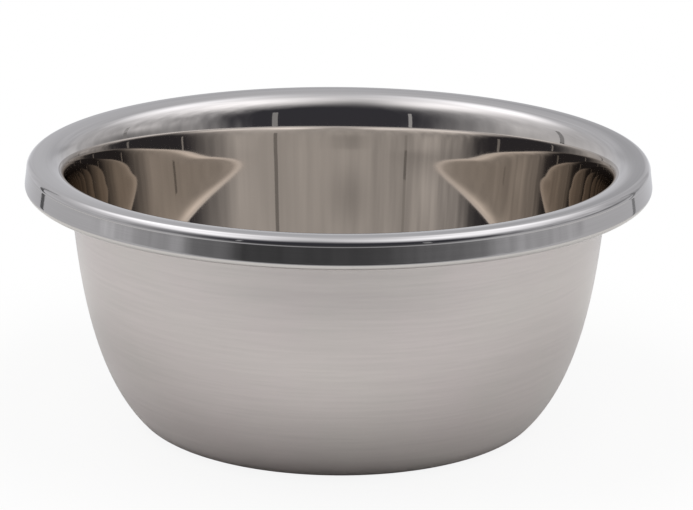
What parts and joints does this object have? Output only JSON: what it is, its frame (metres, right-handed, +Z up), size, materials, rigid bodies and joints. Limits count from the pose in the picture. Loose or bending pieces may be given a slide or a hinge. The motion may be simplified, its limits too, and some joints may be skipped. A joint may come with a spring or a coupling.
{
  "type": "mixing bowl",
  "caption": "Round stainless steel bowl with a flat base, satin outside, mirror-polished inside and a wide flared rim whose turned-down edge is curled round a stiffening wire.",
  "frame": {"origin": "on the bowl's axis, in the plane that its base stands on", "axes": "+Z up along the axis that the bowl is turned about; X and Y level"},
  "size_m": [0.26, 0.26, 0.112],
  "materials": {
    "bowl_steel": "satin brushed round the outside, mirror polished inside and over the rim",
    "wire_steel": "bright drawn wire"
  },
  "bodies": {
    "root": {"bowl_shell": "bowl_steel", "rim_wire": "wire_steel"}
  },
  "joints": []
}
